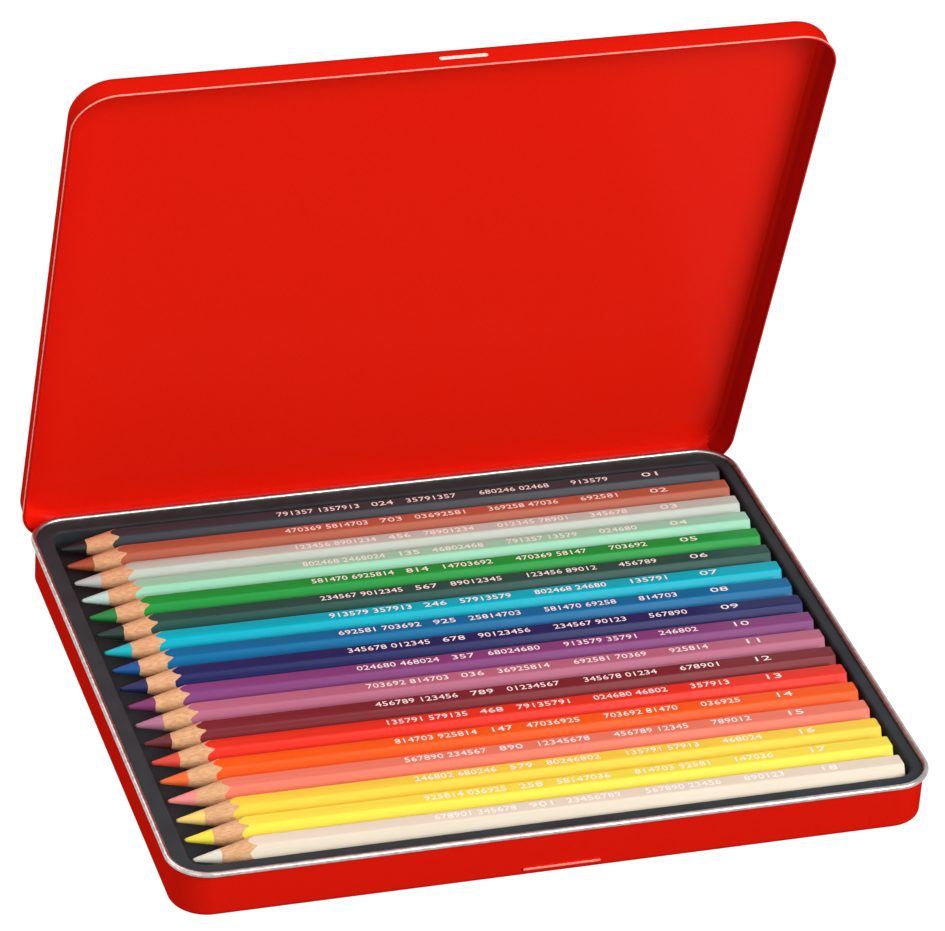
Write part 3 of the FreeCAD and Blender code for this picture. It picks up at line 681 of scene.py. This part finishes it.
pencilCount = sum(1 for n in frame["nodes"] if n.endswith("_casing"))
casingLow, casingHigh = sizeOf("pencil_01_casing")
leadLow = sizeOf("pencil_01_lead")[0]
lastLow, lastHigh = sizeOf(f"pencil_{pencilCount:02d}_casing")
inlayLow, inlayHigh = sizeOf("inlay")
pencilRow = {
    "tip": leadLow[0],
    "end": casingHigh[0],
    "flats": casingHigh[2] - casingLow[2],
    "corners": casingHigh[1] - casingLow[1],
    "height": (casingHigh[2] + casingLow[2]) / 2,
    "firstBack": (casingHigh[1] + casingLow[1]) / 2,
    "lastBack": (lastHigh[1] + lastLow[1]) / 2,
}
pencilRow["pitch"] = (pencilRow["firstBack"] - pencilRow["lastBack"]) / (pencilCount - 1)
pencilRow["length"] = pencilRow["end"] - pencilRow["tip"]
inlayPlan = {
    "sheet": 0.5,
    "flangeRadius": 8.9,
    "pocketRadius": 4.0,
    "leastRadius": 0.3,  # of the pocket's corners at the foot of its wall
    "tipGap": 1.5,
    "endGap": 1.5,
    "sideGap": 1.1,
    "restGap": 0.1,
    "lip": 0.8,  # radius of the pocket's upper edge, and of the foot of its wall
    "foot": 1.5,
    "lipSheet": 0.45,  # drawn thinner over the lip
    "edgeRound": 0.15,
    "legInset": 1.3,
    "combHeight": 1.2,
    "combBase": 2.8,
    "combNarrow": 0.55,  # share of its half width near the crest
    "combSunk": 0.1,  # into the pocket's floor
    "combLength": 14.0,
    "combEnds": [(-1, 0.5), (-0.96, 0.85), (-0.86, 1), (0.86, 1), (0.96, 0.85), (1, 0.5)],
    "combSpread": 120.0,
}


# How far back the axis of a pencil lies, the first one nearest the hinges.
def backOf(index):
    return pencilRow["firstBack"] - (index - 1) * pencilRow["pitch"]


# Low ridges between the pencils, in two combs: a section narrowed by the share in combEnds
# at each place along it.
def combShells(plan, row, floor):
    half, base, narrow = plan["combBase"] / 2, floor - plan["combSunk"], plan["combNarrow"]
    turn = np.linspace(0, np.pi, 9)
    away = half * np.cos(turn) * (narrow + (1 - narrow) * np.cos(turn) ** 2)
    rise = (floor + plan["combHeight"] - base) * np.sin(turn)
    along, share = np.array(plan["combEnds"]).T
    middle = (row["tip"] + row["end"]) / 2
    shells = []
    for place in (middle - plan["combSpread"] / 2, middle + plan["combSpread"] / 2):
        for index in range(1, pencilCount):
            y = backOf(index + 0.5) + away[None, :] * share[:, None]
            z = base + rise[None, :] * share[:, None]
            x = np.broadcast_to((place + along * plan["combLength"] / 2)[:, None], y.shape)
            shells.append(closedGrid(np.stack([x, y, z], -1)))
    return shells


# Rings from the middle of the pocket floor up its wall, over the lip and flange, and back below.
def makeInlay(plan, row):
    sheet, lip, foot, edgeRound = (plan[k] for k in ("sheet", "lip", "foot", "edgeRound"))
    top, floor = inlayHigh[2], row["height"] - row["flats"] / 2 - plan["restGap"]
    left, right = row["tip"] - plan["tipGap"], row["end"] + plan["endGap"]
    pocketHalf = ((right - left) / 2, row["firstBack"] + row["corners"] / 2 + plan["sideGap"])
    across = (left + right) / 2

    def pocketRings(section):
        return rings(pocketHalf[0] + section[:, 0], pocketHalf[1] + section[:, 0],
                     np.maximum(plan["pocketRadius"] + section[:, 0], plan["leastRadius"]),
                     section[:, 1], across)

    def flangeRings(section):
        return rings(inlayHigh[0] + section[:, 0], inlayHigh[1] + section[:, 0],
                     plan["flangeRadius"] + section[:, 0], section[:, 1])

    pocket = np.concatenate([
        arc(-foot, floor + foot, foot, -90, 0),
        arc(lip, top - lip, lip, 180, 90),
    ])
    edge = arc(-edgeRound, top - edgeRound, edgeRound, 90, 0, 3)
    leg, bottom = -plan["legInset"], inlayLow[2]
    below = np.array([[0, top - sheet], [leg, top - sheet], [leg, bottom], [leg - sheet, bottom],
                      [leg - sheet, top - sheet]])
    well = np.concatenate([
        arc(lip, top - lip, lip - plan["lipSheet"], 100, 180)[1:],
        arc(-foot, floor + foot, foot + sheet, 0, -90),
    ])
    grid = np.concatenate([pocketRings(pocket), flangeRings(edge), flangeRings(below),
                           pocketRings(well)])
    newPiece("inlayTray", joined([closedGrid(grid)] + combShells(plan, row, floor)),
             [formedPlastic], "tray", ["inlay"])


makeInlay(inlayPlan, pencilRow)
print("inlay made")


pencilPlan = {
    "edgeRound": 0.62,  # radius along the six edges
    "leadSize": 3.8,
    "leadExposed": 6.5,
    "flatTip": 0.4,  # radius of the cone at its end
    "tipRound": 0.46,  # radius of the worn point
    "endCap": 1.0,
    "endRound": 0.55,
    "endTurns": [25, 50, 75, 90],  # degrees, of the rings round that edge
    "coneSteps": 8,
    "scallop": 0.08125,  # how unevenly the lacquer ends on the cone
    "waves": [4, 9, 14, 21, 29, 38],  # of that, round the pencil
    "waveFade": 0.4,  # power of their order by which the later ones are lower
    "filmStep": 0.06,  # from the end of the cone to the full side
    "woodFrom": 0.1,  # past the bare lead
    "woodUneven": 0.09,
    "boreFrom": 0.4,  # past the bare lead, inside
    "leadTurns": 36,
    "tipEnds": 80,  # degrees round the worn point to the cone
    "coreFrom": 0.3,  # past the bare lead
    "shave": 0.012,  # share by which the sharpened lead is uneven
    "shaveWaves": 7,
    "shaveUpTo": 0.2,  # less than the core's radius
}
pencilPlan["slope"] = (pencilPlan["leadSize"] / 2 - pencilPlan["flatTip"]) / pencilPlan["leadExposed"]
pencilSeed = 40  # and the pencil's own number, for the waves and the shave of each
pencilPaints = [  # lacquer, lead
    ("3a3f45", "17171c"), ("ac5f48", "a34a2e"), ("bbc5ba", "b3b6b3"), ("98d4b5", "b4d0c7"),
    ("1f953e", "177a36"), ("274f47", "162f27"), ("01abbf", "06aab6"), ("0b6899", "064889"),
    ("25295c", "141b4c"), ("7f4077", "762b60"), ("b1667f", "a86a84"), ("762a30", "5e1b22"),
    ("de3424", "d24232"), ("ee5a1e", "e46328"), ("e37862", "e88681"), ("edc744", "e7c86b"),
    ("ecd84c", "e8d63e"), ("ded0bc", "dad3c6"),
]


# Distance from the axis to a hexagon with round edges. On a flat it is the apothem over the
# cosine of a, the angle from the flat's normal. At an edge it is the far crossing with a circle
# about that edge's own centre, with b the angle from the edge.
def hexRadius(turn, apothem, edgeRound):
    a = np.abs(turn % 60 - 30)
    b = np.radians(30 - a)
    centre = (apothem - edgeRound) / math.cos(math.radians(30))
    flatEnd = math.degrees(math.atan((apothem - edgeRound) * math.tan(math.radians(30)) / apothem))
    flat = apothem / np.cos(np.radians(a))
    rounded = centre * np.cos(b) + np.sqrt(np.maximum(edgeRound**2 - (centre * np.sin(b)) ** 2, 0))
    return np.where(a <= flatEnd, flat, rounded), flatEnd


# Angles round a pencil, closer together over the round edges; a flat faces 90 degrees.
def hexTurns(flatEnd, flatSteps=10, edgeSteps=6):
    flat = np.linspace(-flatEnd, flatEnd, flatSteps + 1)
    edge = np.linspace(flatEnd, 60 - flatEnd, edgeSteps + 1)[1:-1]
    return (np.concatenate([flat, edge])[None, :] + 30 + 60 * np.arange(6)[:, None]).ravel()


# Rings of points about the X axis, one per row of the arrays.
def aroundAxis(along, radius, turn):
    a = np.radians(turn)[None, :]
    along, radius = np.broadcast_arrays(along, radius)
    return np.stack([along, radius * np.cos(a), radius * np.sin(a)], -1)


# Casing about the pencil's axis, tip at 0. The cone meets the hexagon sooner on a flat than at an
# edge, which gives the scallops, and a few waves roughen that line.
def casingShell(plan, row, phase):
    slope, exposed, flatTip, endRound = (
        plan[k] for k in ("slope", "leadExposed", "flatTip", "endRound"))
    apothem, length = row["flats"] / 2, row["length"]
    flatEnd = hexRadius(np.array([0.0]), apothem, plan["edgeRound"])[1]
    turn = hexTurns(flatEnd)
    side = hexRadius(turn, apothem, plan["edgeRound"])[0]
    wave = sum(np.sin(np.radians(turn) * count + start) / order ** plan["waveFade"]
               for order, (count, start) in enumerate(zip(plan["waves"], phase), 1))
    lacquerFrom = (side - flatTip) / slope + plan["scallop"] * wave
    uneven = 1 + np.sin(np.radians(turn) * plan["waves"][0] + phase[1])
    woodStart = exposed + plan["woodFrom"] + plan["woodUneven"] * uneven
    share = np.linspace(0, 1, plan["coneSteps"] + 1)[:, None]
    cone = woodStart + (lacquerFrom - woodStart) * share
    bore = np.array([[length - plan["endCap"]], [exposed + plan["boreFrom"]]])
    sideFrom = lacquerFrom + plan["filmStep"]
    sides = sideFrom + (length - endRound - sideFrom) * np.array([[0.0], [0.5], [1.0]])
    endTurn = np.radians(plan["endTurns"])[:, None]
    grid = np.concatenate([
        aroundAxis(bore + 0 * side, plan["leadSize"] / 2 + 0 * side, turn),
        aroundAxis(cone, np.minimum(flatTip + slope * cone, side), turn),
        aroundAxis(sides, side, turn),
        aroundAxis(length - endRound * (1 - np.sin(endTurn)),
                   side - endRound * (1 - np.cos(endTurn)), turn),
    ])
    kinds = np.zeros(len(grid) - 1, int)
    kinds[:len(bore) + plan["coneSteps"]] = 1  # bare wood
    return closedGrid(grid, kinds)


# Lead about the same axis: its worn point, its cone, a little unevenly shaved, and its core.
def leadShell(plan, row, phase):
    slope, exposed, tip = (plan[k] for k in ("slope", "leadExposed", "tipRound"))
    radius, boreEnd = plan["leadSize"] / 2, row["length"] - plan["endCap"]
    tipTurn = np.radians(np.linspace(6, plan["tipEnds"] - 4, 8))[:, None]
    coneFrom = tip * (1 - math.cos(math.radians(plan["tipEnds"])))
    cone = np.linspace(coneFrom, exposed, 7)[:, None]
    turn = np.linspace(0, 360, plan["leadTurns"] + 1)[:-1]
    core = [[exposed + plan["coreFrom"]], [boreEnd]]
    along = np.concatenate([tip * (1 - np.cos(tipTurn)), cone, core])
    radii = np.concatenate([tip * np.sin(tipTurn), plan["flatTip"] + slope * cone,
                            [[radius], [radius]]])
    shaved = radii < radius - plan["shaveUpTo"]
    uneven = np.sin(np.radians(turn) * plan["shaveWaves"] + phase[2]) * shaved
    return closedGrid(aroundAxis(along, radii * (1 + plan["shave"] * uneven), turn))


# A shell moved to its place.
def shifted(shell, place):
    return shell[0] + np.asarray(place), shell[1], shell[2]


def makePencil(index):
    label = f"{index:02d}"
    paint, leadColour = pencilPaints[index - 1]
    body = f"pencil_{label}"
    lacquer = makePencilLacquer(f"pencilLacquer{label}", paint, lacquerFinish)
    lead = makeColourLead(f"colourLead{label}", leadColour, leadFinish)
    phase = np.random.default_rng(pencilSeed + index).uniform(0, 2 * np.pi, len(pencilPlan["waves"]))
    casing = casingShell(pencilPlan, pencilRow, phase)
    core = leadShell(pencilPlan, pencilRow, phase)
    place = (pencilRow["tip"], backOf(index), pencilRow["height"])
    newPiece(f"casing{label}", shifted(casing, place), [lacquer, sharpenedWood], body,
             [f"{body}_casing"], sharp=24)
    newPiece(f"lead{label}", shifted(core, place), [lead], body,
             [f"{body}_lead"])


for pencilIndex in range(1, pencilCount + 1):
    makePencil(pencilIndex)
print("pencils made")


numberPlan = {
    "height": 1.9,  # mm, of a digit
    "digitShare": 0.7,  # of the type's size that a digit is high
    "lift": 0.03,  # of the foil above the lacquer
    "sink": 0.04,  # and into it
    "groups": [  # mm along X, from and to
        (-31.3, -9.1), (-5.9, 0.1), (3.5, 17.2), (23.4, 42.6), (48.6, 58.9), (65.0, 72.7)],
    "drift": 0.1,  # mm, how much later the first group starts on each next pencil
    "spacing": 1.55,  # mm, from one digit to the next
    "unbroken": 9,  # a longer group has a gap
    "gapAt": 6,  # and this many digits before it
}


# A row of stamped digits on the top flat: the pencil's own number at the end, and plain
# running digits in the groups before it.
def numberText(plan, index, group, places):
    if group == len(plan["groups"]) - 1:
        return f"{index:02d}".rjust(places)
    digits = "".join(str((index * 7 + group * 3 + k * (index % 3 + 1)) % 10) for k in range(places))
    gapAt = plan["gapAt"] if places > plan["unbroken"] else places
    return digits[:gapAt] + " " * (gapAt < places) + digits[gapAt + 1:]


# The groups of digits of one pencil as thin solid foil, each stretched to its own length.
def makeNumber(index, plan):
    label = f"{index:02d}"
    up = pencilRow["height"] + pencilRow["flats"] / 2 + (plan["lift"] - plan["sink"]) / 2
    points, faces, first = [], [], 0
    for group, (start, end) in enumerate(plan["groups"]):
        start += plan["drift"] * (index - 1) * (group == 0)
        places = int((end - start) / plan["spacing"])
        curve = bpy.data.curves.new(f"number{label}", "FONT")
        curve.body = numberText(plan, index, group, places)
        curve.size = plan["height"] / plan["digitShare"] * mm
        curve.align_x, curve.align_y = "LEFT", "CENTER"
        curve.extrude = (plan["lift"] + plan["sink"]) / 2 * mm
        curve.resolution_u = 2
        text = bpy.data.objects.new(f"numberText{label}", curve)
        scene.collection.objects.link(text)
        evaluated = text.evaluated_get(bpy.context.evaluated_depsgraph_get())
        mesh = bpy.data.meshes.new_from_object(evaluated)
        bpy.data.objects.remove(text)
        digits = np.zeros(len(mesh.vertices) * 3, np.float32)
        mesh.vertices.foreach_get("co", digits)
        digits = digits.reshape(-1, 3) / mm
        digits[:, 0] *= (end - start) / digits[:, 0].max()
        points.append(digits + [start, backOf(index), up])
        faces += [[first + i for i in p.vertices] for p in mesh.polygons]
        first += len(digits)
        bpy.data.meshes.remove(mesh)
    newPiece(f"number{label}", (np.concatenate(points), faces, [0] * len(faces)), [numberFoil],
             f"pencil_{label}")


for pencilIndex in range(1, pencilCount + 1):
    makeNumber(pencilIndex, numberPlan)
print("numbers made")


stagePlan = {
    "size": 6000,  # mm
    "under": 0.2,  # mm, how far below the tin the floor is
    "floorColour": "8c8c8c",
    "glow": 0.9,  # what lifts the floor to white
    "ambient": 0.16,  # strength of the even light from all round
}
lights = {  # degrees to the right of the tin's front, degrees up, watts
    "keySoftbox": (33, 31, 35),
    "fillLeft": (-35, 20, 10),
    "sideLeft": (-100, 14, 11),
    "softboxBehind": (-150, 50, 13),
    "overhead": (10, 80, 6),
}
lampPlan = {"distance": 1900, "size": 1000, "aimsAt": (0, 0, 30)}  # mm


# 1 for what the camera, gloss and glass see, 0 for the light that reaches the pieces.
def lookedAt(material):
    path = addNode(material, "LightPath").outputs
    seen = path["Is Camera Ray"]
    for ray in ("Is Glossy Ray", "Is Transmission Ray"):
        seen = addNode(material, "Math", {"operation": "MAXIMUM"}, {0: seen, 1: path[ray]}).outputs[0]
    return seen


# A grey floor that keeps the shadow, lifted to white where it is looked at.
def makeFloor(plan):
    half, under = plan["size"] / 2 * mm, -plan["under"] * mm
    mesh = bpy.data.meshes.new("floor")
    corners = [(-half, -half, under), (half, -half, under), (half, half, under), (-half, half, under)]
    mesh.from_pydata(corners, [], [(0, 1, 2, 3)])
    material, shader = newMaterial("paleFloor", roughness=0.9, specular=0.0)[:2]
    shader.inputs["Base Color"].default_value = linear(plan["floorColour"])
    lift = addNode(material, "Math", {"operation": "MULTIPLY"},
                   {0: lookedAt(material), 1: plan["glow"]})
    glow = addNode(material, "Emission", inputs={"Color": (1, 1, 1, 1), "Strength": lift.outputs[0]})
    both = addNode(material, "AddShader", inputs={0: shader.outputs[0], 1: glow.outputs[0]})
    link(material, both.outputs[0], material.node_tree.nodes["Material Output"].inputs["Surface"])
    mesh.materials.append(material)
    floor = bpy.data.objects.new("floor", mesh)
    scene.collection.objects.link(floor)


# Square soft lamps round the tin, all aimed at one point a little above the floor.
def makeLights(plan, lamps):
    target = Vector(lamps["aimsAt"]) * mm
    for name, (azimuth, elevation, watts) in plan.items():
        data = bpy.data.lights.new(name, "AREA")
        data.shape, data.size, data.energy = "SQUARE", lamps["size"] * mm, watts
        lamp = bpy.data.objects.new(name, data)
        a, e = math.radians(azimuth), math.radians(elevation)
        away = Vector((math.sin(a) * math.cos(e), -math.cos(a) * math.cos(e), math.sin(e)))
        turned = away.to_track_quat("Z", "Y").to_matrix().to_4x4()
        lamp.matrix_world = Matrix.Translation(target + away * lamps["distance"] * mm) @ turned
        scene.collection.objects.link(lamp)


# A world that lights dimly and evenly, and is white where it is looked at.
def makeWorld(plan):
    world = bpy.data.worlds.new("studio")
    world.use_nodes = True
    scene.world = world
    background = world.node_tree.nodes["Background"]
    strength = addNode(world, "MapRange", inputs={
        "Value": lookedAt(world), "To Min": plan["ambient"], "To Max": 1.0})
    link(world, strength.outputs[0], background.inputs["Strength"])
    background.inputs["Color"].default_value = (1, 1, 1, 1)


makeFloor(stagePlan)
makeLights(lights, lampPlan)
makeWorld(stagePlan)
scene.view_settings.view_transform = "Standard"
print("stage and light set")
